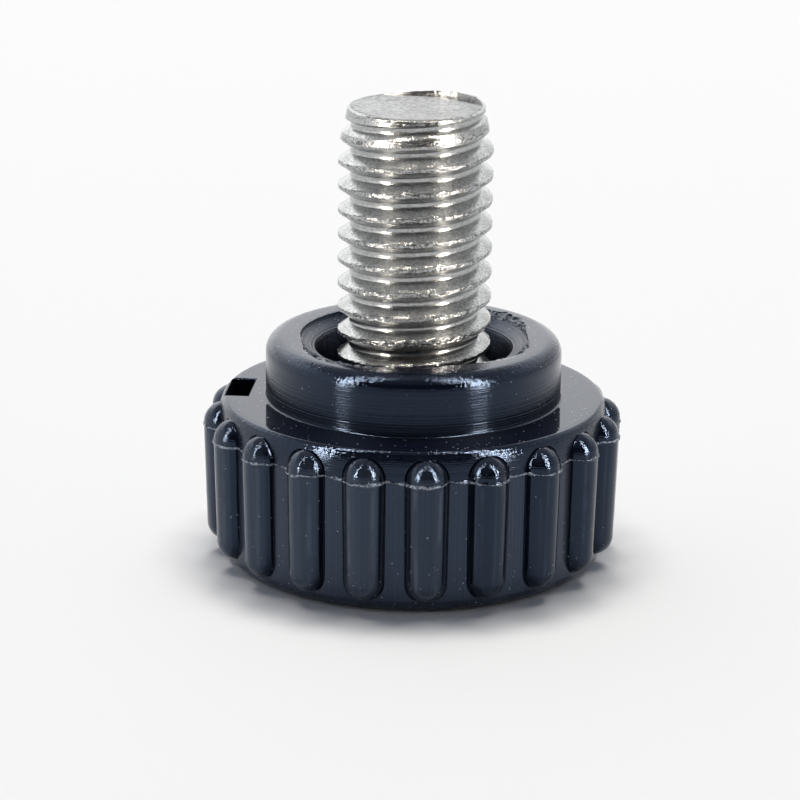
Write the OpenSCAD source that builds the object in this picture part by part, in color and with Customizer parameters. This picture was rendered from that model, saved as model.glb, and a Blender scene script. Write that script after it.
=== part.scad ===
// Thumb screw: a ribbed plastic knob moulded round the head of a steel M8 hexagon screw.
// It stands on its head, with the threaded stud pointing up. Sizes are in millimetres.
// The origin is the centre of the knob's flat base, and +Z runs up along the stud.

/* [Skirt] */
// Diameter of the skirt at the parting line of the mould
skirt_d = 19.7; // [16.4:0.1:26]
// Height of the flat shoulder above the base
shoulder_h = 8.35; // [6.9:0.05:12]
// Depth of the parting line below the shoulder
parting_drop = 1.5; // [1.3:0.05:3]
// Draft of the skirt's wall below the parting line, in degrees
draft = 1; // [0:0.1:2.5]
// Radius of the rounded edge round the base
base_edge_r = 0.8; // [0.3:0.05:1.2]
// Radius of the rounded edge round the shoulder
shoulder_edge_r = 0.4; // [0.2:0.05:0.8]

/* [Grip ribs] */
// Number of ribs round the skirt
rib_count = 20; // [12:1:24]
// Radius of each rib and of its rounded ends
rib_r = 1.05; // [0.6:0.05:1.3]
// How far each rib's centre line lies inside the skirt's surface, at its domed end
rib_sink = 0.2; // [0:0.05:0.5]
// Lean of each rib towards the base, in degrees
rib_lean = 1.3; // [0:0.1:2.5]
// Height of the centre of each rib's rounded lower end
rib_foot_h = 1.9; // [1.4:0.05:3]
// Depth of the centre of each rib's domed upper end below the parting line
rib_dome_drop = 0.05; // [0.05:0.05:0.3]
// Turn of the first rib from straight ahead, in degrees
rib_turn = 4; // [0:1:17]

/* [Boss] */
// Width of the flat shoulder between the boss and the skirt's surface
shoulder_w = 2.35; // [1.9:0.05:3]
// Height of the boss above the shoulder
boss_h = 3.1; // [2:0.05:5]
// Radius of the rounded edge at the top of the boss, where its ring has room for it
boss_edge_r = 0.8; // [0.3:0.05:1]

/* [Recess round the stud] */
// Gap between the stud's thread and the bore round it
bore_gap = 1.1; // [0.7:0.05:1.5]
// Width of the countersink round the bore, up to the rim
countersink_w = 0.75; // [0.4:0.05:1.1]
// Height of the countersink between the bore and the rim
countersink_h = 0.4; // [0.2:0.05:0.8]
// Depth of the straight step at the rim
rim_step = 0.2; // [0.1:0.05:0.4]
// Depth of the bore's floor below the boss's face
recess_depth = 2.6; // [1.6:0.1:3.2]

/* [Core pocket] */
// Length of the pocket in the shoulder, round the knob
pocket_l = 3; // [2:0.1:3.6]
// Width of the pocket, across the shoulder
pocket_w = 1.2; // [0.8:0.1:1.4]
// Depth of the pocket below the shoulder
pocket_depth = 3; // [1:0.1:5]
// Plastic left between the pocket and the skirt's surface
pocket_wall = 0.35; // [0.2:0.05:0.5]
// The rib that the pocket comes just after, counting from the first one
pocket_after_rib = 14; // [0:1:23]

/* [Steel screw] */
// Diameter over the crests of the M8 thread
thread_d = 7.8; // [6.5:0.1:9.4]
// How far the stud stands above the boss's face
stud_l = 12; // [8:0.5:40]
// Size of the chamfer at the stud's end
end_chamfer = 0.45; // [0.2:0.05:0.8]
// How far the plain neck under the screw's head lies inside the thread's crests
neck_step = 0.35; // [0.1:0.05:0.6]
// Width across the flats of the hexagon head
head_af = 13; // [11:0.1:15.6]
// Thickness of the hexagon head
head_h = 5.3; // [4:0.1:6.4]
// Plastic left between the head and the shoulder
head_cover = 0.9; // [0.6:0.05:1.5]
// Angle of the chamfer round the head's outer face, in degrees
head_chamfer = 30; // [20:5:35]

/* [Fit] */
// Gap between the steel and the plastic moulded round it
moulded_gap = 0.02; // [0:0.01:0.05]

/* [Hidden] */
$fn = 96;
// What a cutting shape runs past the face that it cuts, and the boss into the skirt
past = 0.5;

skirt_r = skirt_d / 2;
parting_h = shoulder_h - parting_drop;
boss_top = shoulder_h + boss_h;
stud_top = boss_top + stud_l;
recess_floor = boss_top - recess_depth;

boss_r = skirt_r - shoulder_w;
bore_r = thread_d / 2 + bore_gap;
rim_r = bore_r + countersink_w;
// The boss's edge takes up no more than half of the ring round the recess
boss_round = min(boss_edge_r, (boss_r - rim_r) / 2);

// Radius of the skirt at the top of the round at the base edge
base_r = skirt_r - (parting_h - base_edge_r) * tan(draft);
// Height of the centre of each rib's domed upper end, and its distance from the axis
rib_dome_h = parting_h - rib_dome_drop;
rib_dome_r = skirt_r - rib_sink;
// Length of a rib's straight part, along its leaning centre line
rib_l = (rib_dome_h - rib_foot_h) / cos(rib_lean);
// Angle from one rib to the next
rib_pitch = 360 / rib_count;

pocket_r = skirt_r - pocket_wall - pocket_w / 2;
// Direction of the pocket, midway between two ribs
pocket_turn = rib_turn + (pocket_after_rib + 0.5) * rib_pitch;

head_top = shoulder_h - head_cover;
head_base = head_top - head_h;
// Circle that the head's chamfer leaves on its outer face, as wide as the flats
head_face_r = head_af / 2;
head_corner_r = head_face_r / cos(30);

// Half section of the skirt, with its drafted wall and its two rounded edges
module skirt_section() {
    base_round_x = base_r - base_edge_r;
    shoulder_round_x = skirt_r - shoulder_edge_r;
    union() {
        polygon([
            [0, 0],
            [base_round_x, 0],
            [base_r, base_edge_r],
            [skirt_r, parting_h],
            [skirt_r, shoulder_h - shoulder_edge_r],
            [shoulder_round_x, shoulder_h],
            [0, shoulder_h]
        ]);
        translate([base_round_x, base_edge_r])
            circle(base_edge_r);
        translate([shoulder_round_x, shoulder_h - shoulder_edge_r])
            circle(shoulder_edge_r);
    }
}

// Half section of the boss, from inside the skirt to its rounded top edge
module boss_section() {
    round_x = boss_r - boss_round;
    union() {
        polygon([
            [0, shoulder_h - past],
            [boss_r, shoulder_h - past],
            [boss_r, boss_top - boss_round],
            [round_x, boss_top],
            [0, boss_top]
        ]);
        translate([round_x, boss_top - boss_round])
            circle(boss_round);
    }
}

// Half section of the recess: a bore, a countersink and a step at the rim
module recess_section() {
    step_z = boss_top - rim_step;
    polygon([
        [0, recess_floor],
        [bore_r, recess_floor],
        [bore_r, step_z - countersink_h],
        [rim_r, step_z],
        [rim_r, boss_top + past],
        [0, boss_top + past]
    ]);
}

// Half section of a bar with a ball at each end, standing on its lower ball's centre
module rib_section() {
    intersection() {
        union() {
            square([rib_r, rib_l]);
            circle(rib_r);
            translate([0, rib_l])
                circle(rib_r);
        }
        translate([0, -rib_r - past])
            square([rib_r + past, rib_l + 2 * (rib_r + past)]);
    }
}

// One grip rib, straight ahead, leaning in towards the base, with its seam inside the skirt
module rib() {
    translate([0, -rib_dome_r, rib_dome_h])
        rotate([rib_lean, 0, 0])
            translate([0, 0, -rib_l])
                rotate([0, 0, 90])
                    rotate_extrude()
                        rib_section();
}

// The pocket that the mould's core leaves in the shoulder
module pocket() {
    rotate([0, 0, pocket_turn])
        translate([-pocket_l / 2, -pocket_r - pocket_w / 2, shoulder_h - pocket_depth])
            cube([pocket_l, pocket_w, pocket_depth + past]);
}

// Hexagon head with one flat towards the pocket and the chamfer on its outer face,
// grown by gap on every side
module hex_head(gap) {
    corner_r = head_corner_r + gap / cos(30);
    face_r = head_face_r + gap;
    cone_r = corner_r + past;
    height = head_h + 2 * gap;
    translate([0, 0, head_base - gap])
        intersection() {
            rotate([0, 0, pocket_turn])
                cylinder(r = corner_r, h = height, $fn = 6);
            rotate_extrude()
                polygon([
                    [0, 0],
                    [face_r, 0],
                    [cone_r, (cone_r - face_r) * tan(head_chamfer)],
                    [cone_r, height + past],
                    [0, height + past]
                ]);
        }
}

// Plain neck between the head and the recess's floor, grown by gap and run on by over
module neck(gap, over) {
    translate([0, 0, head_top])
        cylinder(d = thread_d - 2 * neck_step + 2 * gap, h = recess_floor - head_top + over);
}

// The black moulding: skirt, ribs, shoulder and boss, closed round the screw's head
module knob() {
    color("#1b1d22")
        difference() {
            union() {
                // The skirt's seam lies midway between two ribs
                rotate([0, 0, rib_turn + rib_pitch / 2 - 90])
                    rotate_extrude()
                        skirt_section();
                rotate_extrude()
                    boss_section();
                for (i = [0 : rib_count - 1])
                    rotate([0, 0, rib_turn + i * rib_pitch])
                        rib();
            }
            rotate_extrude()
                recess_section();
            pocket();
            hex_head(moulded_gap);
            neck(moulded_gap, past);
        }
}

// The steel screw: hexagon head, plain neck and threaded stud with a chamfered end
module stud() {
    color("#b9bab8")
        union() {
            hex_head(0);
            neck(0, 0);
            translate([0, 0, recess_floor])
                cylinder(d = thread_d, h = stud_top - end_chamfer - recess_floor);
            translate([0, 0, stud_top - end_chamfer])
                cylinder(d1 = thread_d, d2 = thread_d - 2 * end_chamfer, h = end_chamfer);
        }
}

knob();
stud();
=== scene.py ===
"""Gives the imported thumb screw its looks: a ribbed black knob moulded round a steel screw.

Shapes are worked out in millimetres, in the CAD model's own frame, and scaled to metres when
their mesh is made. An azimuth is counted in degrees from +X towards +Y. The camera is at -Y.
"""
import math

import bmesh
import bpy
import numpy as np
from mathutils import Euler, Matrix, Vector


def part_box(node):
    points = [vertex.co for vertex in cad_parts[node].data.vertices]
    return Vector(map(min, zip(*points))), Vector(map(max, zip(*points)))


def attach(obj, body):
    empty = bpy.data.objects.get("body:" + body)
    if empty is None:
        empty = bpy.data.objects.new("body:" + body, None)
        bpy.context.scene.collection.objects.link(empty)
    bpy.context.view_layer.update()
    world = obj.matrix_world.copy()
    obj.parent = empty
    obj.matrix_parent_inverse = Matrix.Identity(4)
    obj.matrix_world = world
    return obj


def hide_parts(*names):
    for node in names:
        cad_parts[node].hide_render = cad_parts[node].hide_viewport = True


MM = 0.001

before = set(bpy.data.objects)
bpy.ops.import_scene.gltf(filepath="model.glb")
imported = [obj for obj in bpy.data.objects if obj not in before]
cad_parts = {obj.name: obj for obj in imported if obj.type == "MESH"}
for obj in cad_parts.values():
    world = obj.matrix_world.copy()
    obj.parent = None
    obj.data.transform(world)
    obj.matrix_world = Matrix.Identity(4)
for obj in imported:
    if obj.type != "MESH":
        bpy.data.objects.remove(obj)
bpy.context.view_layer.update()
knob_low, knob_high = (np.array(corner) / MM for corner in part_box("knob"))
stud_low, stud_high = (np.array(corner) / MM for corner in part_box("stud"))

# Steps between the CAD model's heights
BOSS_H = 3.1
PARTING_DROP = 1.5
RECESS_DEPTH = 2.6
HEAD_H = 5.3

# Heights of the CAD model, with its parting line, its recess and the screw's hidden head
BOSS_TOP = knob_high[2]
STUD_TOP = stud_high[2]
HEAD_BASE = stud_low[2]
SHOULDER_H = BOSS_TOP - BOSS_H
PARTING_H = SHOULDER_H - PARTING_DROP
RECESS_FLOOR = BOSS_TOP - RECESS_DEPTH
HEAD_TOP = HEAD_BASE + HEAD_H

# Skirt, with an edge round the shoulder that is an ellipse of a width and a height
SKIRT_R = 9.85
DRAFT = math.radians(1)
BASE_EDGE_R = 0.8
SHOULDER_EDGE_W = 0.36
SHOULDER_EDGE_H = 0.9
# Radii of the points on the flat shoulder
SHOULDER_RADII = (9.2, 8.8, 8.4, 8.0, 7.75)

# Ribs: each has a round foot and a domed end, whose centres lie so far from the axis
RIBS = 20
RIB_TURN = -86
RIB_R = 1.05
RIB_DOME_H = PARTING_H + 0.1
RIB_DOME_AT = 9.61
RIB_FOOT_R = 1.0
RIB_FOOT_H = 1.64
RIB_FOOT_AT = 9.52
# Depth of the fine groove where a rib meets the wall
CREASE_DEPTH = 0.08
# Turn from one row of a dome to the next, and height of its first row above the parting line
DOME_STEP = math.radians(5)
DOME_START = 0.2
# How far a dome still stands proud of the wall at its last row
DOME_PROUD = 0.015

# Flash at the parting line: how far it and its spikes stand out, and each row's height above
# the line, with its share of that
FLASH_OUT = 0.08
SPIKES_OUT = 0.12
FLASH_ROWS = ((-0.12, 0), (-0.06, 0.2), (-0.035, 1), (0.015, 1), (0.055, 0.6), (0.08, 0))

# Boss and recess, with a step at the rim, a countersink and a bore with a worn lip
BOSS_R = 7.5
BOSS_EDGE_R = 0.8
BOSS_FOOT_R = 0.1
RIM_R = 5.75
RIM_STEP = 0.2
COUNTERSINK_H = 0.4
BORE_R = 5.0
LIP_W = 0.03
LIP_H = 0.1
# Depth, azimuth and reach of each tear that widens the rim, and how far out one may go
TEARS = ((0.82, -130, 42), (0.42, -30, 34), (0.72, 40, 38))
DEEPEST_TEAR = 0.85
# Share of the way in from a tear's outer edge to the rim, and drop below the boss's face there
TEAR_ROWS = ((0, 0.09), (0.3, 0.12), (0.6, 0.15), (0.85, 0.17))

# Pocket in the shoulder
POCKET_TURN = 175
POCKET_AT = 8.9
POCKET_L = 3.0
POCKET_W = 1.2
POCKET_DEPTH = 3.0
POCKET_BEVEL = 0.07

# Screw: an M8 thread over a plain neck and a hexagon head
PITCH = 1.25
CREST_R = 3.88
ROOT_R = 3.27
NECK_R = 3.55
HEAD_FACE_R = 6.5
HEAD_CHAMFER = math.radians(30)
MOULDED_GAP = 0.02
# Height of a root of the thread at azimuth 0
THREAD_LEAD = 20.484
# Turns of the thread, counted from there
FIRST_TURN, LAST_TURN = -11, 2
# Heights above the middle of a root at which it ends, and at which the crest begins
ROOT_END = 0.13
CREST_START = PITCH / 2 - 0.1
# Heights of the thread's rows above the middle of its root
UP_FLANK = [0, 0.08, 0.14, 0.18, 0.28, 0.4, 0.49, 0.53, 0.57]
THREAD_SPOTS = UP_FLANK + [PITCH / 2] + [PITCH - spot for spot in UP_FLANK[:0:-1]]

# The stud's end, and the height below it at which the crests begin to get lower
END_H = STUD_TOP - 0.43
WORN_H = 1.9
WORN_SLOPE = 0.225
# Radius and height above END_H of each row of the end, how far the flap raises it and how far
# the slit sinks it. The first END_RIM_ROWS are the bevelled rim.
END_ROWS = (
    (3.45, 0.04, 0.14, 0), (3.43, 0.13, 0.22, 0), (3.37, 0.19, 0.22, 0), (3.3, 0.22, 0.18, 0),
    (3.27, 0.22, 0.02, 0.1), (3.25, 0.21, 0, 0.3), (3.12, 0.2, 0, 0.28), (2.9, 0.19, 0, 0.08),
    (2.6, 0.17, 0, 0), (2.1, 0.15, 0, 0), (1.5, 0.13, 0, 0), (0.8, 0.12, 0, 0))
END_RIM_ROWS = 4

# Columns of points across each rib and each valley, and round the screw
RIB_STEPS = 32
VALLEY_STEPS = 16
COLUMNS = RIBS * (RIB_STEPS + VALLEY_STEPS)
STUD_COLUMNS = 360
# Edges that turn by more than so many degrees are sharp
KNOB_CREASE = 32
STUD_CREASE = 24


# ---------------------------------------------------------------- helpers for shapes

def wander(count, cells, seed):
    """Smooth noise between -1 and 1 round a ring of count points, with so many cells."""
    values = np.random.default_rng(seed).uniform(-1, 1, cells)
    spot = np.arange(count) * cells / count
    cell = spot.astype(int)
    ease = spot - cell
    ease = ease * ease * (3 - 2 * ease)
    return values[cell % cells] * (1 - ease) + values[(cell + 1) % cells] * ease


def hump(azimuths, centre, reach):
    """1 at a centre azimuth, falling smoothly to 0 at so many degrees from it."""
    away = np.abs((azimuths - centre + 180) % 360 - 180) / reach
    return np.where(away < 1, (1 + np.cos(np.pi * np.minimum(away, 1))) / 2, 0)


def arc(start, end, first, last, steps):
    """Points of the quarter ellipse that leaves start along the axis and reaches end square to
    it, between two of its angles in degrees."""
    turns = np.radians(np.linspace(first, last, steps))
    return [(end[0] + (start[0] - end[0]) * math.cos(t),
             start[1] + (end[1] - start[1]) * math.sin(t)) for t in turns]


def ring(azimuths, radius, height):
    """A row of points round the axis. The radius and height may change along it."""
    turn = np.radians(azimuths)
    height = np.broadcast_to(height, turn.shape)
    return np.stack([radius * np.cos(turn), radius * np.sin(turn), height], 1)


def ribbed_ring(radius, height, rib_at, rib_r, out=0.0):
    """A row round the skirt that follows its ribs, moved outwards by out."""
    reach = math.acos((radius**2 + rib_at**2 - rib_r**2) / (2 * radius * rib_at))
    turn = math.acos((radius**2 - rib_at**2 - rib_r**2) / (2 * rib_at * rib_r))
    sweep = np.linspace(-turn, turn, RIB_STEPS + 1)
    valley = np.linspace(reach, 2 * math.pi / RIBS - reach, VALLEY_STEPS + 1)[1:-1]
    rib_x = rib_at + rib_r * np.cos(sweep)
    rib_x[[0, -1]] -= CREASE_DEPTH
    x = np.concatenate([rib_x, radius * np.cos(valley)])
    y = np.concatenate([rib_r * np.sin(sweep), radius * np.sin(valley)])
    facing = np.tile(np.concatenate([sweep, valley]), RIBS)
    around = np.repeat(np.radians(RIB_TURN + np.arange(RIBS) * 360 / RIBS), len(x))
    x, y = np.tile(x, RIBS), np.tile(y, RIBS)
    height = np.broadcast_to(height, x.shape)
    return np.stack([x * np.cos(around) - y * np.sin(around) + out * np.cos(facing + around),
                     x * np.sin(around) + y * np.cos(around) + out * np.sin(facing + around),
                     height], 1)


def hexagon(azimuths, face_r):
    """Distance from the axis to a hexagon that has one flat towards the pocket."""
    return face_r / np.cos(np.radians((azimuths - POCKET_TURN + 30) % 60 - 30))


def chamfer_h(azimuths, face_r):
    """Height of the chamfer on the screw's head above its outer face, at the hexagon's sides."""
    return (hexagon(azimuths, face_r) - face_r) * math.tan(HEAD_CHAMFER)


def skin_faces(rows, climb):
    """Faces of a closed skin over rows of points, each with as many points as the last or half.

    climb gives a first and a last row between which the rows climb, and how many rows a turn
    takes."""
    first, last, turn_rows = climb
    starts = np.cumsum([0] + [len(row) for row in rows])
    faces = [list(range(len(rows[0])))[::-1]]
    for k, (low, high) in enumerate(zip(rows[:-1], rows[1:])):
        a, b = starts[k], starts[k + 1]
        step = len(low) // len(high)
        for j in range(len(high) - 1):
            edge = [a + j * step + i for i in range(step + 1)]
            faces.append(edge + [b + j + 1, b + j])
        # The face that closes the row, one turn higher where the rows climb
        edge = [a + len(low) - step + i for i in range(step)]
        if not first <= k < last:
            faces.append(edge + [a, b, b + len(high) - 1])
        elif k + turn_rows < last:
            faces.append(edge + [starts[k + turn_rows], starts[k + 1 + turn_rows],
                                 b + len(high) - 1])
    faces.append(list(range(starts[-2], starts[-1])))
    return [list(map(int, face)) for face in faces]


def skin(name, rows, marks, crease, climb=(0, 0, 0)):
    """A piece made of a closed skin over rows of points, as skin_faces says.

    marks gives each named attribute as one value, or one row of values, for each row."""
    mesh = bpy.data.meshes.new(name)
    mesh.from_pydata((np.concatenate(rows) * MM).tolist(), [], skin_faces(rows, climb))
    for mark, values in marks.items():
        filled = [np.broadcast_to(value, len(row)) for value, row in zip(values, rows)]
        layer = mesh.attributes.new(mark, "FLOAT", "POINT")
        layer.data.foreach_set("value", np.concatenate(filled).astype(np.float32))
    shape = bmesh.new()
    shape.from_mesh(mesh)
    bmesh.ops.remove_doubles(shape, verts=shape.verts, dist=1e-4 * MM)
    soften(shape, crease)
    shape.to_mesh(mesh)
    shape.free()
    return show(name, mesh)


def soften(shape, crease):
    """Shades faces smoothly, but for the edges that turn by more than crease degrees."""
    for face in shape.faces:
        face.smooth = True
    for edge in shape.edges:
        edge.smooth = edge.calc_face_angle(0) < math.radians(crease)


def show(name, data):
    """A new object in the scene."""
    shown = bpy.data.objects.new(name, data)
    bpy.context.scene.collection.objects.link(shown)
    return shown


# ---------------------------------------------------------------- knob

# Azimuths of the columns where they are spread evenly, each near where it is on a ribbed row
even = RIB_TURN + np.arange(COLUMNS) * 360 / COLUMNS - 180 / RIBS * RIB_STEPS / (
    RIB_STEPS + VALLEY_STEPS)


def skirt_wall(height):
    """Radius of the skirt between its ribs: drafted below, and rounded over to the shoulder."""
    if height < PARTING_H:
        return SKIRT_R - (PARTING_H - height) * math.tan(DRAFT)
    up = max(height - SHOULDER_H + SHOULDER_EDGE_H, 0) / SHOULDER_EDGE_H
    return SKIRT_R - SHOULDER_EDGE_W * (1 - math.sqrt(1 - up * up))


def flash_rows():
    """Rows of the flash squeezed out where the two halves of the mould met, each with its share
    of the flash."""
    ragged = 0.6 + 0.4 * wander(COLUMNS, 330, 3) + 0.35 * wander(COLUMNS, 70, 5)
    # Only the highest tips of this noise are spikes
    spikes = np.maximum(wander(COLUMNS, 400, 8) - 0.86, 0) * 9
    proud = FLASH_OUT * np.clip(ragged, 0.1, 1.5) + SPIKES_OUT * spikes
    sag = 0.02 * wander(COLUMNS, 310, 10) + 0.035 * wander(COLUMNS, 150, 11)
    sag = sag + 0.06 * wander(COLUMNS, 40, 12)
    thick = 0.8 + 0.6 * wander(COLUMNS, 110, 13) + 0.4 * wander(COLUMNS, 260, 14)
    thick = np.clip(thick, 0.3, 1.6)
    return [(ribbed_ring(SKIRT_R, PARTING_H + rise * thick + sag, RIB_DOME_AT, RIB_R,
                         share * proud), share) for rise, share in FLASH_ROWS]


def skirt_rows():
    """Rows from the base up to the shoulder, and how much flash each one is."""
    rows = []
    base_r = skirt_wall(BASE_EDGE_R)
    base_edge = arc((base_r, BASE_EDGE_R), (base_r - BASE_EDGE_R, 0), 0, 90, 8)
    for radius, height in reversed(base_edge):
        rows.append(ring(even, radius, height))
    # The ball at a rib's foot comes out of the wall
    out_of_wall = math.acos((skirt_wall(RIB_FOOT_H) - RIB_FOOT_AT) / RIB_FOOT_R)
    for turn in out_of_wall * np.linspace(0.95, 0.1, 9):
        height = RIB_FOOT_H - RIB_FOOT_R * math.sin(turn)
        rows.append(ribbed_ring(skirt_wall(height), height, RIB_FOOT_AT,
                                RIB_FOOT_R * math.cos(turn)))
    for part in np.linspace(0, 0.96, 8):
        height = RIB_FOOT_H + part * (PARTING_H - RIB_FOOT_H)
        rows.append(ribbed_ring(skirt_wall(height), height,
                                RIB_FOOT_AT + part * (RIB_DOME_AT - RIB_FOOT_AT),
                                RIB_FOOT_R + part * (RIB_R - RIB_FOOT_R)))
    flash = [0] * len(rows)
    for row, share in flash_rows():
        rows.append(row)
        flash.append(share)
    # The domed ends, up to where they sink into the rounded edge
    turn = math.asin((PARTING_H + DOME_START - RIB_DOME_H) / RIB_R)
    while True:
        height = RIB_DOME_H + RIB_R * math.sin(turn)
        if RIB_R * math.cos(turn) < skirt_wall(height) - RIB_DOME_AT + DOME_PROUD:
            break
        rows.append(ribbed_ring(skirt_wall(height), height, RIB_DOME_AT,
                                RIB_R * math.cos(turn)))
        turn += DOME_STEP
    # The rest of the rounded edge, from that height on, and the flat shoulder
    low = SHOULDER_H - SHOULDER_EDGE_H
    last = math.degrees(math.asin((height - low) / SHOULDER_EDGE_H))
    for radius, height in arc((SKIRT_R, low), (SKIRT_R - SHOULDER_EDGE_W, SHOULDER_H),
                              last, 90, 12):
        rows.append(ring(even, radius, height))
    for radius in SHOULDER_RADII:
        rows.append(ring(even, radius, SHOULDER_H))
    # The spikes of the flash stay inside the CAD model's box
    limit = np.append(knob_high[:2], np.inf)
    rows = [np.clip(row, -limit, limit) for row in rows]
    return rows, flash + [0] * (len(rows) - len(flash))


def torn_rim(azimuths):
    """How far out the rim is torn at each azimuth, with the comb of tool marks at the back."""
    count = len(azimuths)
    chatter = wander(count, 150, 21)
    depth = sum(deep * hump(azimuths, centre, reach) for deep, centre, reach in TEARS)
    nicks = 0.1 * np.maximum(wander(count, 90, 22) - 0.45, 0) * hump(azimuths, 155, 60)
    comb = 0.2 * np.abs((azimuths / 3.1) % 1 - 0.5) * hump(azimuths, 30, 30)
    return RIM_R + np.clip(depth * (1 + 0.22 * chatter) + nicks - comb, 0.0, DEEPEST_TEAR)


def boss_rows():
    """Rows from the shoulder over the boss and into the recess and the hidden hollow, and how
    torn and how much turned each one is."""
    rows, torn, turned = [], [], []

    def add(radius, height, tear=0, turning=0):
        rows.append(ring(azimuths, radius, height))
        torn.append(tear)
        turned.append(turning)

    azimuths = even[::2]
    count = len(azimuths)
    edge_h = BOSS_TOP - BOSS_EDGE_R
    edge_r = BOSS_R - BOSS_EDGE_R
    for radius, height in arc((BOSS_R, SHOULDER_H + BOSS_FOOT_R),
                              (BOSS_R + BOSS_FOOT_R, SHOULDER_H), 90, 0, 5):
        add(radius, height)
    for height in np.linspace(SHOULDER_H + 0.4, edge_h - 0.15, 5):
        add(BOSS_R, height)
    for radius, height in arc((BOSS_R, edge_h), (edge_r, BOSS_TOP), 0, 90, 12):
        add(radius, height)
    # The boss's face, and the torn zone that falls from it in rough steps to the rim
    outer = torn_rim(azimuths)
    tear = np.clip((outer - RIM_R) / 0.3, 0, 1)
    for part in (0.35, 0.7, 1):
        add(edge_r * (1 - part) + (outer + 0.03) * part, BOSS_TOP)
    for part, drop in TEAR_ROWS:
        rough = 0.08 * wander(count, 240, 30 + int(part * 10)) + 0.04 * wander(count, 100, 40)
        add(outer * (1 - part) + RIM_R * part,
            BOSS_TOP - np.maximum(drop + rough * 1.2, 0.01) * (0.3 + 0.7 * tear), tear, 0.3)
    # The step at the rim, the turned countersink and the bore
    step_h = BOSS_TOP - RIM_STEP
    add(RIM_R - 0.01, step_h, 0.3, 1)
    for part in np.linspace(0.06, 0.94, 12):
        wave = 0.012 * (-1) ** int(part * 100)
        add(RIM_R + (BORE_R - RIM_R) * part + 0.01 * wander(count, 60, 50),
            step_h - COUNTERSINK_H * part + wave, 0, 1)
    lip_h = step_h - COUNTERSINK_H
    for part in (0, 0.5, 1):
        add((BORE_R + LIP_W) * (1 - part) + (BORE_R - LIP_W) * part,
            lip_h * (1 - part) + (lip_h - LIP_H) * part, 0, 0.6)
    add(BORE_R - LIP_W, RECESS_FLOOR + 0.1)
    add(BORE_R - LIP_W - 0.1, RECESS_FLOOR)
    # The hollow that the screw's neck and head fill
    face_r = HEAD_FACE_R + MOULDED_GAP
    low = HEAD_BASE - MOULDED_GAP
    add(NECK_R + MOULDED_GAP, RECESS_FLOOR)
    add(NECK_R + MOULDED_GAP, HEAD_TOP + MOULDED_GAP)
    add(hexagon(azimuths, face_r), HEAD_TOP + MOULDED_GAP)
    add(hexagon(azimuths, face_r), low + chamfer_h(azimuths, face_r))
    add(face_r, low)
    return rows, torn, turned


def cut_pocket(knob):
    """Cuts the pocket that the mould's core left in the shoulder, with a bevel round it."""
    shape = bmesh.new()
    levels = [(SHOULDER_H - POCKET_DEPTH, 0), (SHOULDER_H - POCKET_BEVEL, 0),
              (SHOULDER_H + POCKET_BEVEL, 2 * POCKET_BEVEL), (SHOULDER_H + 1, 2 * POCKET_BEVEL)]
    turn = Matrix.Rotation(math.radians(POCKET_TURN), 4, "Z")
    loops = []
    for height, grow in levels:
        half_w, half_l = POCKET_W / 2 + grow, POCKET_L / 2 + grow
        corners = [(-half_w, -half_l), (half_w, -half_l), (half_w, half_l), (-half_w, half_l)]
        loops.append([shape.verts.new(turn @ Vector(((POCKET_AT + x) * MM, y * MM, height * MM)))
                      for x, y in corners])
    shape.faces.new(loops[0][::-1])
    shape.faces.new(loops[-1])
    for low, high in zip(loops[:-1], loops[1:]):
        for j in range(4):
            shape.faces.new((low[j], low[(j + 1) % 4], high[(j + 1) % 4], high[j]))
    mesh = bpy.data.meshes.new("pocket_cutter")
    shape.to_mesh(mesh)
    shape.free()
    cutter = show("pocket_cutter", mesh)
    cut = knob.modifiers.new("pocket", "BOOLEAN")
    cut.operation = "DIFFERENCE"
    cut.solver = "EXACT"
    cut.object = cutter
    evaluated = knob.evaluated_get(bpy.context.evaluated_depsgraph_get())
    done = bpy.data.meshes.new_from_object(evaluated)
    knob.modifiers.clear()
    knob.data = done
    bpy.data.objects.remove(cutter)


def make_knob():
    """The black moulding, with its marks for flash, tears and turned faces."""
    skirt, flash = skirt_rows()
    boss, torn, turned = boss_rows()
    plain = [0] * len(skirt)
    knob = skin("moulded_knob", skirt + boss, {
        "flash": flash + [0] * len(boss), "torn": plain + torn, "turned": plain + turned},
        KNOB_CREASE)
    cut_pocket(knob)
    return knob


# ---------------------------------------------------------------- screw

def thread_shape(height):
    """Radius of the thread at a height above the middle of its root."""
    along = np.abs((height / PITCH + 0.5) % 1 - 0.5) * PITCH
    flank = np.clip((along - ROOT_END) / (CREST_START - ROOT_END), 0, 1)
    rounded = flank + 0.06 * np.sin(2 * np.pi * flank) * (flank < 0.5)
    return ROOT_R + (CREST_R - ROOT_R) * rounded


def worn_crest(height):
    """Radius that the thread's crests keep at a height. They are lower near the stud's end."""
    return np.maximum(CREST_R - WORN_SLOPE * np.maximum(height - END_H + WORN_H, 0), ROOT_R)


def thread_rows(azimuths):
    """Rows that climb along the thread, held between the recess's floor and the stud's end, and
    whether each one is on a crest."""
    lead = THREAD_LEAD + azimuths / 360 * PITCH
    rows, crest = [], []
    for turn in range(FIRST_TURN, LAST_TURN + 1):
        for k, spot in enumerate(THREAD_SPOTS):
            height = lead + turn * PITCH + spot
            radius = np.full(STUD_COLUMNS, thread_shape(spot))
            on_crest = abs(spot - PITCH / 2) < 0.12
            if on_crest:
                seed = 100 + (turn - FIRST_TURN) * 20 + k
                radius = radius + 0.014 * wander(STUD_COLUMNS, 180, seed) - 0.012
                height = height + 0.016 * wander(STUD_COLUMNS, 180, seed + 7)
            held = np.clip(height, RECESS_FLOOR, END_H)
            radius = np.where(held == height, radius, thread_shape(held - lead))
            rows.append(ring(azimuths, np.minimum(radius, worn_crest(held)), held))
            crest.append(1 if on_crest else 0)
    return rows, crest


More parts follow.
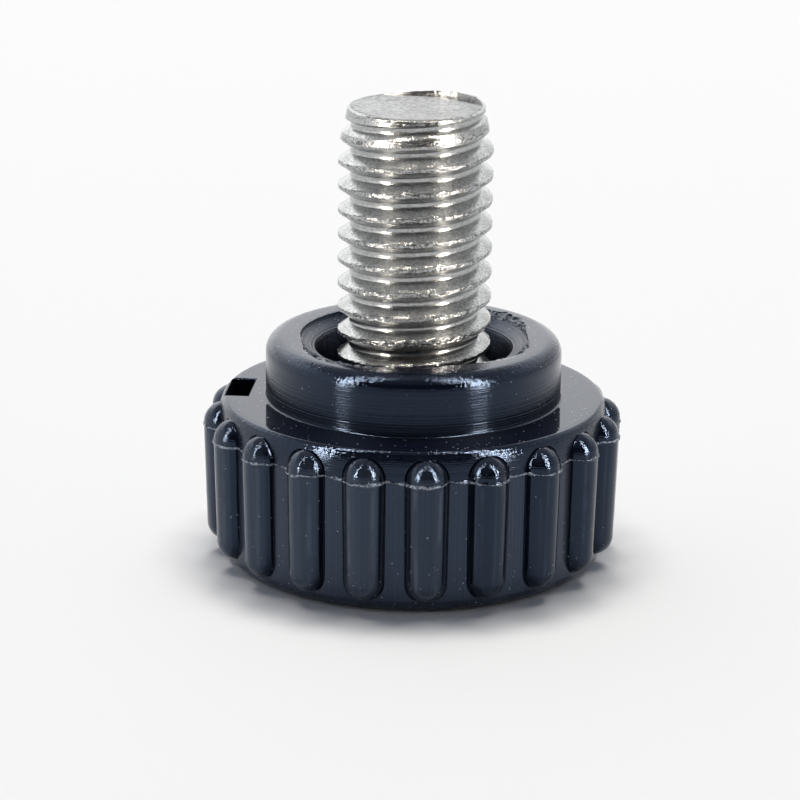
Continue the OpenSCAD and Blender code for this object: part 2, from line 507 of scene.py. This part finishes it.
def end_rows(azimuths):
    """Rows over the stud's end: its bevelled rim, the flap folded up at the back with a slit
    before it, and the cupped face."""
    count = len(azimuths)
    flap = np.clip(1.25 * hump(azimuths, 46, 70), 0, 1)
    flap = flap * (1 + 0.12 * (wander(count, 40, 60) - 1))
    slit = np.clip(1.4 * hump(azimuths, 66, 66), 0, 1)
    rough = wander(count, 120, 61)
    rows = []
    for radius, height, raised, sunk in END_ROWS:
        # The roughness dies out towards the middle
        ragged = rough * (radius / END_ROWS[0][0]) ** 5
        rows.append(ring(azimuths, radius + 0.012 * ragged,
                         END_H + height + raised * flap - sunk * slit + 0.008 * ragged))
    return rows


def make_stud():
    """The steel screw, with its marks for the crests and the end face."""
    azimuths = np.arange(STUD_COLUMNS) * 360 / STUD_COLUMNS
    sides = hexagon(azimuths, HEAD_FACE_R)
    head = [ring(azimuths, radius, height) for radius, height in (
        (HEAD_FACE_R, HEAD_BASE), (sides, HEAD_BASE + chamfer_h(azimuths, HEAD_FACE_R)),
        (sides, HEAD_TOP), (NECK_R, HEAD_TOP), (NECK_R, RECESS_FLOOR))]
    thread, crest = thread_rows(azimuths)
    end = end_rows(azimuths)
    crest = [0] * len(head) + crest + [0] * len(end)
    face = [0] * (len(head) + len(thread)) + [0.2] * END_RIM_ROWS
    face = face + [1] * (len(end) - END_RIM_ROWS)
    climb = (len(head), len(head) + len(thread) - 1, len(THREAD_SPOTS))
    return skin("steel_screw", head + thread + end, {"crest": crest, "end_face": face},
                STUD_CREASE, climb)


# ---------------------------------------------------------------- helpers for materials

def put(tree, kind, inputs=(), out=0, **settings):
    """Adds a node with its settings and inputs, which are values or sockets. Gives one output."""
    node = tree.nodes.new("ShaderNode" + kind)
    for key, value in settings.items():
        setattr(node, key, value)
    for key, value in dict(inputs).items():
        if isinstance(value, bpy.types.NodeSocket):
            tree.links.new(value, node.inputs[key])
        else:
            node.inputs[key].default_value = value
    return node.outputs[out] if node.outputs else None


def maths(tree, operation, first, *others):
    """Takes numbers together with an operation, from the first to the last."""
    for other in others:
        first = put(tree, "Math", {0: first, 1: other}, operation=operation)
    return first


def times(tree, *numbers):
    return maths(tree, "MULTIPLY", *numbers)


def largest(tree, *numbers):
    return maths(tree, "MAXIMUM", *numbers)


def dot(tree, place, direction):
    """How far a place lies along a direction."""
    return put(tree, "VectorMath", {0: place, 1: direction}, out="Value",
               operation="DOT_PRODUCT")


def split(tree, vector):
    """The x, y and z of a vector."""
    axes = tree.nodes.new("ShaderNodeSeparateXYZ")
    tree.links.new(vector, axes.inputs[0])
    return axes.outputs


def span(tree, value, start, end, low=0.0, high=1.0):
    """Runs smoothly from low to high as a value runs from start to end."""
    return put(tree, "MapRange", {
        "Value": value, "From Min": start, "From Max": end, "To Min": low, "To Max": high},
        interpolation_type="SMOOTHSTEP")


def mm_span(tree, distance, start, end, low=0.0, high=1.0):
    """Runs smoothly from low to high as a distance goes between two in millimetres."""
    return span(tree, distance, start * MM, end * MM, low, high)


def tint(tree, share, first, second):
    """Mixes two colours, from the first to the second."""
    return put(tree, "Mix", {0: share, 6: first, 7: second}, out=2, data_type="RGBA")


def fade(tree, share, first, second):
    """Mixes two numbers, from the first to the second."""
    return put(tree, "Mix", {0: share, 2: first, 3: second}, data_type="FLOAT")


def grain(tree, place, cell, detail=2.0, rough=0.5):
    """Noise with cells of a size in millimetres."""
    return put(tree, "TexNoise", {
        "Vector": place, "Scale": 1 / (cell * MM), "Detail": detail, "Roughness": rough})


def lines(tree, along, cell, detail=3.0):
    """Noise that changes along one value only, in lines so many thousandths of it wide."""
    return put(tree, "TexNoise", {"W": along, "Scale": 1 / (cell * MM), "Detail": detail},
               noise_dimensions="1D")


def specks(tree, place, cell, size, share):
    """Round specks in a share of the cells, of up to a size in millimetres."""
    spot = tree.nodes.new("ShaderNodeTexVoronoi")
    tree.links.new(place, spot.inputs["Vector"])
    spot.inputs["Scale"].default_value = 1 / (cell * MM)
    chance = put(tree, "SeparateColor", {0: spot.outputs["Color"]})
    near = span(tree, spot.outputs["Distance"], size / cell, size / cell * 0.4)
    return times(tree, near, maths(tree, "GREATER_THAN", chance, 1 - share))


def raise_by(tree, height, depth, under=None):
    """A bump of so many millimetres, over another bump."""
    inputs = {"Height": height, "Distance": depth * MM}
    if under is not None:
        inputs["Normal"] = under
    return put(tree, "Bump", inputs)


def painted(tree, name):
    """An attribute that the mesh has at its points."""
    return put(tree, "Attribute", out="Fac", attribute_name=name)


def ray(tree, kind):
    """1 where a ray is of a kind, such as Is Camera Ray."""
    return put(tree, "LightPath", out=kind)


def start_material(name):
    """A new material's tree, and its place, azimuth, distance from the axis and height."""
    material = bpy.data.materials.new(name)
    material.use_nodes = True
    tree = material.node_tree
    tree.nodes.clear()
    place = put(tree, "TexCoord", out="Object")
    x, y, height = split(tree, place)
    flat = put(tree, "CombineXYZ", {0: x, 1: y})
    radius = put(tree, "VectorMath", {0: flat}, out="Value", operation="LENGTH")
    return material, tree, place, maths(tree, "ARCTAN2", y, x), radius, height


def end_material(tree, inputs):
    """Ends a material with a shader that has these inputs."""
    put(tree, "OutputMaterial", {"Surface": put(tree, "BsdfPrincipled", inputs)})


def around_axis(tree):
    """The direction round the object's axis, from which the reflections' stretch is turned."""
    return put(tree, "Tangent", direction_type="RADIAL", axis="Z")


# ---------------------------------------------------------------- materials

# The plastic's own colour, in its darker and paler clouds, the colours of what was done to it,
# the painted sheen and painted highlight lines on the skirt, and the tint of its reflections
INK_DARK = (0.002, 0.003, 0.008, 1)
INK_PALE = (0.0035, 0.005, 0.013, 1)
SCUFF_AND_SHEEN_COLOUR = (0.04, 0.05, 0.067, 1)
PAINTED_SHEEN_COLOUR = (0.04, 0.047, 0.068, 1)
PAINTED_HIGHLIGHT_COLOUR = (0.075, 0.085, 0.11, 1)
DUST_COLOUR = (0.55, 0.58, 0.64, 1)
FLASH_COLOUR = (0.66, 0.7, 0.78, 1)
TURNED_COLOUR = (0.10, 0.11, 0.13, 1)
TORN_COLOUR = (0.34, 0.36, 0.4, 1)
PLASTIC_TINT = (0.48, 0.66, 1, 1)

# The steel's own colour, in its darker and paler clouds, its stains and nicks, and the dark line
# along the front of its end
STEEL_DARK = (0.41, 0.42, 0.42, 1)
STEEL_PALE = (0.51, 0.52, 0.52, 1)
SATIN_COLOUR = (0.2, 0.205, 0.205, 1)
NICK_COLOUR = (0.08, 0.08, 0.08, 1)
ROLLED_COLOUR = (0.22, 0.22, 0.22, 1)
MOTTLE_COLOUR = (0.17, 0.175, 0.18, 1)
FRONT_EDGE_DARK = (0.03, 0.03, 0.03, 1)

PAPER_DARK = (0.955, 0.957, 0.96, 1)
PAPER_PALE = (0.965, 0.967, 0.97, 1)


def dust_on(tree, place, height, upward):
    """Where dust lies: anywhere, and more of it on faces that look up and low on the skirt."""
    anywhere = largest(tree, specks(tree, place, 0.30, 0.04, 0.25),
                       specks(tree, place, 0.9, 0.06, 0.5))
    settled = times(tree, specks(tree, place, 0.33, 0.05, 0.9), upward)
    low = times(tree, specks(tree, place, 0.27, 0.04, 0.7), mm_span(tree, height, 3.6, 1.8))
    patches = span(tree, grain(tree, place, 1.1, 2), 0.36, 0.58)
    return times(tree, largest(tree, anywhere, settled, low), patches)


def skirt_wear_and_painted_light(tree, body, drawn, place, radius, height, upness):
    """Lays scuffs, a painted sheen and painted highlight lines over the colour of the skirt and
    its ribs.
    """
    # How far each point stands proud of the drafted wall between the ribs
    sloped = put(tree, "Math", {0: height, 1: -math.tan(DRAFT), 2: radius},
                 operation="MULTIPLY_ADD")
    proud = maths(tree, "SUBTRACT", sloped, (SKIRT_R - PARTING_H * math.tan(DRAFT)) * MM)
    # Painted light: this mask makes the painted sheen and highlight lines strongest on the left
    # side
    left = mm_span(tree, dot(tree, place, (0.9, 0.3, 0)), 1, -5)
    # Fine upright scratches dull the ribs below the parting line, and a painted sheen lightens
    # them, most of all on the left, where the light falls
    scuffs_and_sheen = times(tree, span(tree, drawn, 0.4, 0.7, 0.75, 1.0), left,
                    span(tree, upness, 0.8, 0.3), mm_span(tree, proud, 0.25, 0.5))
    body = tint(tree, times(tree, scuffs_and_sheen, 0.9), body, SCUFF_AND_SHEEN_COLOUR)
    # A painted sheen lightens the valleys between the ribs and the wall under the ribs' feet,
    # standing in for the light they reflect
    painted_sheen = times(tree, mm_span(tree, proud, 0.05, 0),
                 mm_span(tree, height, PARTING_H + 0.1, PARTING_H - 0.2),
                 span(tree, drawn, 0.3, 0.7, 0.6, 0.85), mm_span(tree, radius, 8.6, 9.2))
    body = tint(tree, painted_sheen, body, PAINTED_SHEEN_COLOUR)
    # Two fine painted highlight lines run along each rib, stronger on the left
    painted_highlight_lines = times(tree, mm_span(tree, proud, 0.53, 0.6), mm_span(tree, proud, 0.71, 0.64),
                   mm_span(tree, height, PARTING_H - 0.1, PARTING_H - 0.3),
                   span(tree, grain(tree, place, 1.6, 2), 0.35, 0.65, 0.1, 0.75),
                   span(tree, left, 0, 0.5, 0.25, 1))
    return tint(tree, painted_highlight_lines, body, PAINTED_HIGHLIGHT_COLOUR)


def plastic_material():
    """Glossy black moulding with fine tool marks, dust, pale flash and a torn, turned recess."""
    material, tree, place, azimuth, radius, height = start_material("black_plastic_look")
    torn, turned, flash = (painted(tree, name) for name in ("torn", "turned", "flash"))
    clouds = grain(tree, place, 2.6, 4)
    upness = split(tree, put(tree, "NewGeometry", out="Normal"))[2]
    # Fine upright lines below the parting line, where the mould draws off, and turned grooves
    drawn = times(tree, lines(tree, azimuth, 9.0),
                  mm_span(tree, height, PARTING_H, PARTING_H - 0.2))
    groove = lines(tree, radius, 0.07)
    dust = dust_on(tree, place, height, span(tree, upness, 0.4, 0.9))

    colour = tint(tree, clouds, INK_DARK, INK_PALE)
    # Scuffs, with a painted sheen and painted highlight lines, on the skirt
    colour = skirt_wear_and_painted_light(tree, colour, drawn, place, radius, height, upness)
    colour = tint(tree, times(tree, dust, 0.85), colour, DUST_COLOUR)
    for zone, pattern, start, end, low, high, shade in (
            (flash, grain(tree, place, 0.14, 3), 0.38, 0.66, 0.05, 0.85, FLASH_COLOUR),
            (turned, groove, 0.45, 0.75, 0.0, 0.35, TURNED_COLOUR),
            (torn, grain(tree, place, 0.17, 3), 0.45, 0.62, 0.0, 0.8, TORN_COLOUR)):
        share = times(tree, zone, span(tree, pattern, start, end, low, high))
        colour = tint(tree, share, colour, shade)

    rough = times(tree, span(tree, clouds, 0.3, 0.75, 0.11, 0.15),
                  span(tree, upness, 0.1, 0.35, 1, 0.32),
                  mm_span(tree, height, SHOULDER_H - 0.1, SHOULDER_H + 0.1, 1, 1.05))
    worn = largest(tree, torn, turned, flash)
    rough = maths(tree, "ADD", rough, times(tree, worn, 0.25))
    # The photo shows the plastic almost black where one glossy face reflects another
    rough = fade(tree, ray(tree, "Is Glossy Ray"), rough, 0.9)

    # Fine level lines above the parting line, and a slight waviness of the rounded edges
    above = mm_span(tree, height, PARTING_H + 0.1, PARTING_H + 0.3, 0.2, 1)
    rounded = times(tree, span(tree, upness, 0.08, 0.2), span(tree, upness, 0.97, 0.9))
    wavy = maths(tree, "SUBTRACT", grain(tree, place, 0.2, 1), 0.5)
    # Lines rubbed round the boss's ring, and short ones across its edge
    ringed = times(tree, mm_span(tree, height, BOSS_TOP - 0.6, BOSS_TOP - 0.1),
                   span(tree, grain(tree, place, 2.2, 2), 0.35, 0.6, 0.25, 1))
    round_lines = maths(tree, "SUBTRACT", lines(tree, radius, 0.06), 0.5)
    cross_lines = maths(tree, "SUBTRACT", lines(tree, azimuth, 12.0), 0.5)
    # Each relief and its depth, one over the other
    bump = None
    for relief, depth in (
            (times(tree, lines(tree, height, 0.09), above), 0.016),
            (drawn, 0.006),
            (times(tree, rounded, wavy), 0.02),
            (grain(tree, place, 0.12, 2), 0.0006),
            (dust, 0.008),
            (times(tree, turned, groove), 0.03),
            (times(tree, ringed, round_lines), 0.006),
            (times(tree, ringed, cross_lines), 0.004),
            (times(tree, torn, grain(tree, place, 0.16, 5, 0.6)), 0.08),
            (times(tree, flash, grain(tree, place, 0.1, 3)), 0.03)):
        bump = raise_by(tree, relief, depth, bump)

    end_material(tree, {
        "Base Color": colour, "Roughness": rough, "IOR": 1.5, "Specular IOR Level": 0.54,
        "Specular Tint": PLASTIC_TINT, "Anisotropic": 1.0, "Anisotropic Rotation": 0.25,
        "Normal": bump, "Tangent": around_axis(tree)})
    return material


def dark_front_edge(tree, place, radius, height, mottle):
    """Where the edge of the stud's end face is darker, on the side towards the camera."""
    return times(tree, mm_span(tree, radius, 3.1, 3.18), mm_span(tree, radius, 3.32, 3.26),
                 span(tree, mottle, 0.38, 0.5), mm_span(tree, height, END_H, END_H + 0.05),
                 mm_span(tree, dot(tree, place, (0, -1, 0)), -0.5, 1))


def steel_material():
    """Bright rolled steel with fine lines round the thread, ragged crests and a mottled end."""
    material, tree, place, azimuth, radius, height = start_material("steel_look")
    crest, end = painted(tree, "crest"), painted(tree, "end_face")
    clouds = grain(tree, place, 1.4, 4)
    satin = grain(tree, place, 0.11, 3)
    mottle = grain(tree, place, 0.22, 5, 0.6)
    # Noise drawn out into lines, as it changes little round the axis
    drawn = put(tree, "CombineXYZ", {0: times(tree, azimuth, 0.0006), 1: radius, 2: height})
    rolled = grain(tree, drawn, 0.05, 3)

    colour = tint(tree, clouds, STEEL_DARK, STEEL_PALE)
    colour = tint(tree, span(tree, satin, 0.42, 0.62, 0.0, 0.6), colour, SATIN_COLOUR)
    nicks = times(tree, crest, span(tree, grain(tree, place, 0.11, 2), 0.5, 0.58), 0.75)
    colour = tint(tree, nicks, colour, NICK_COLOUR)
    colour = tint(tree, span(tree, rolled, 0.52, 0.7, 0.0, 0.4), colour, ROLLED_COLOUR)
    stained = times(tree, end, span(tree, mottle, 0.4, 0.6, 0.3, 1.0))
    colour = tint(tree, stained, colour, MOTTLE_COLOUR)
    # A dark line along the edge of the end face, on the side towards the camera
    colour = tint(tree, dark_front_edge(tree, place, radius, height, mottle), colour,
                  FRONT_EDGE_DARK)

    rough = maths(tree, "ADD", span(tree, clouds, 0.3, 0.7, 0.17, 0.26),
                  times(tree, end, 0.12))
    bump = None
    for relief, depth in (
            (rolled, 0.006),
            (satin, 0.007),
            (times(tree, crest, grain(tree, place, 0.09, 3)), 0.022),
            (times(tree, end, mottle), 0.03)):
        bump = raise_by(tree, relief, depth, bump)

    end_material(tree, {
        "Base Color": colour, "Metallic": 1.0, "Roughness": rough, "Anisotropic": 0.4,
        "Anisotropic Rotation": 0.25, "Normal": bump, "Tangent": around_axis(tree)})
    return material


def floor_material():
    """Plain pale paper."""
    material, tree, place, *_ = start_material("pale_paper")
    colour = tint(tree, grain(tree, place, 0.8, 4), PAPER_DARK, PAPER_PALE)
    end_material(tree, {"Base Color": colour, "Roughness": 0.9, "Specular IOR Level": 0.1})
    return material


# ---------------------------------------------------------------- pieces

knob = make_knob()
stud = make_stud()
for piece, node, slot, material in ((knob, "knob", "black_plastic", plastic_material()),
                                    (stud, "stud", "steel", steel_material())):
    piece.data.materials.append(material)
    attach(piece, "root")
    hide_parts(node)

# ---------------------------------------------------------------- floor, light and camera

# Half the floor's width, in metres
FLOOR_HALF = 0.7

# Brightness of the studio's walls: behind, at the sides, and where the photographer stands
BACK_LIGHT = 1.5
SIDE_LIGHT = 1.15
FRONT_LIGHT = 0.07
# Brightness of the band of light above them, behind and at the sides
BACK_BAND = 2.1
SIDE_BAND = 1.0
# Brightness of the ceiling, behind and in front
CEILING_BACK = 0.6
CEILING_FRONT = 0.28
# What the right-hand side has of the walls' and the band's light
RIGHT_SHARE = 0.65
# What matt surfaces get of all that, and its colour. The key panels give them the rest.
MATT_SHARE = 0.28
MATT_COLOUR = (0.8, 0.94, 1.2, 1)
WHITE = (1, 1, 1, 1)
# What the camera sees past the floor
BACKDROP = 0.97
# Where one gives way to the next. The first three are cosines of the azimuth from the camera's
# side, and the others are parts of a direction of length 1: to the right, back and up.
WALL_FADE = (-0.95, -0.6)
BAND_FADE = (-0.7, 0.2)
FRONT_FADE = (0.56, 0.62)
RIGHT_FADE = (0.1, 0.5)
CEILING_FADE = (-0.4, 0.05)
BAND_START = (0.34, 0.42)
CEILING_START = (0.66, 0.72)

# Lamps. Their azimuths are counted from the camera's side, and lengths are in metres.
# The narrow strips show only in reflections, in a group of three on each side.
STRIPS = (("left", -54, 2.6), ("right", 51, 3.6))
STRIP_STEP = 2.7
STRIP_DISTANCE = 0.3
STRIP_LIFT = 0.86
STRIP_SIZE = (0.0045, 1.7)
STRIP_COLOUR = (1, 0.9, 0.78)
# The key panels, behind on the left and the right, show only on matt surfaces
KEYS = (("key_left", -146, 10.1), ("key_right", 146, 10.9))
KEY_DISTANCE = 0.48
KEY_LIFT = 1.5
KEY_SIZE = (0.9, 0.45)
KEY_COLOUR = (1, 0.965, 0.91)

# The photo's camera: its distance, and the point that it looks at
CAMERA_DISTANCE = 0.15938
CAMERA_DOWN = math.radians(17.268)
CAMERA_ROLL = math.radians(0.593)
CAMERA_AIM = Vector((-0.666 * MM, 0, 7.97 * MM))
CAMERA_LENS = 140.6
CAMERA_SENSOR = 36
CAMERA_CLIP = 0.01


def make_floor():
    sheet = bmesh.new()
    bmesh.ops.create_grid(sheet, x_segments=8, y_segments=8, size=FLOOR_HALF)
    mesh = bpy.data.meshes.new("floor")
    sheet.to_mesh(mesh)
    sheet.free()
    floor = show("floor", mesh)
    floor.location.z = knob_low[2] * MM
    floor.data.materials.append(floor_material())


def make_world():
    """A studio: pale all round, a bright band above, and a darker side with the photographer."""
    world = bpy.data.worlds.new("studio")
    bpy.context.scene.world = world
    world.use_nodes = True
    tree = world.node_tree
    tree.nodes.clear()
    x, y, z = split(tree, put(tree, "TexCoord", out="Generated"))
    level = put(tree, "Math", {0: maths(tree, "ADD", times(tree, x, x), times(tree, y, y))},
                operation="SQRT")
    forward = maths(tree, "DIVIDE", times(tree, y, -1.0), level)
    walls = span(tree, forward, *WALL_FADE, BACK_LIGHT, SIDE_LIGHT)
    band = span(tree, forward, *BAND_FADE, BACK_BAND, SIDE_BAND)
    ceiling = span(tree, y, *CEILING_FADE, CEILING_FRONT, CEILING_BACK)
    light = fade(tree, span(tree, z, *BAND_START), walls, band)
    light = fade(tree, span(tree, forward, *FRONT_FADE), light, FRONT_LIGHT)
    light = times(tree, light, span(tree, x, *RIGHT_FADE, 1, RIGHT_SHARE))
    light = fade(tree, span(tree, z, *CEILING_START), light, ceiling)
    light = times(tree, light, fade(tree, ray(tree, "Is Diffuse Ray"), 1.0, MATT_SHARE))
    light = fade(tree, ray(tree, "Is Camera Ray"), light, BACKDROP)
    colour = tint(tree, ray(tree, "Is Diffuse Ray"), WHITE, MATT_COLOUR)
    shown = put(tree, "Background", {"Color": colour, "Strength": light})
    put(tree, "OutputWorld", {"Surface": shown})


def add_lamp(name, azimuth, distance, lift, size, colour, watts, upright=False):
    """A soft panel whose middle stands so far from the axis and so high above the floor. It
    faces the origin, or the axis where it is upright."""
    lamp = bpy.data.lights.new(name, "AREA")
    lamp.shape = "RECTANGLE"
    lamp.size, lamp.size_y = size
    lamp.color = colour
    lamp.energy = watts
    turn = math.radians(azimuth - 90)
    away = Vector((math.cos(turn), math.sin(turn), 0)) * distance
    panel = show(name, lamp)
    panel.location = away + Vector((0, 0, lift))
    faced = away if upright else panel.location
    panel.rotation_euler = faced.to_track_quat("Z", "Y").to_euler()
    return panel


def add_lamps():
    for side, azimuth, watts in STRIPS:
        for number in range(3):
            strip = add_lamp(f"strip_{side}_{number}", azimuth + STRIP_STEP * (number - 1),
                             STRIP_DISTANCE, STRIP_LIFT, STRIP_SIZE, STRIP_COLOUR, watts,
                             upright=True)
            strip.visible_diffuse = False
    for name, azimuth, watts in KEYS:
        key = add_lamp(name, azimuth, KEY_DISTANCE, KEY_LIFT, KEY_SIZE, KEY_COLOUR, watts)
        key.visible_glossy = False


def add_camera():
    data = bpy.data.cameras.new("camera")
    data.sensor_width = CAMERA_SENSOR
    data.lens = CAMERA_LENS
    data.clip_start = CAMERA_CLIP
    camera = show("camera", data)
    camera.location = CAMERA_AIM + CAMERA_DISTANCE * Vector((
        0, -math.cos(CAMERA_DOWN), math.sin(CAMERA_DOWN)))
    tilt = Euler((math.pi / 2 - CAMERA_DOWN, 0, 0)).to_matrix()
    facing = tilt @ Matrix.Rotation(CAMERA_ROLL, 3, "Z")
    camera.rotation_euler = facing.to_euler()
    bpy.context.scene.camera = camera
    bpy.context.scene.view_settings.view_transform = "Standard"


make_floor()
make_world()
add_lamps()
add_camera()
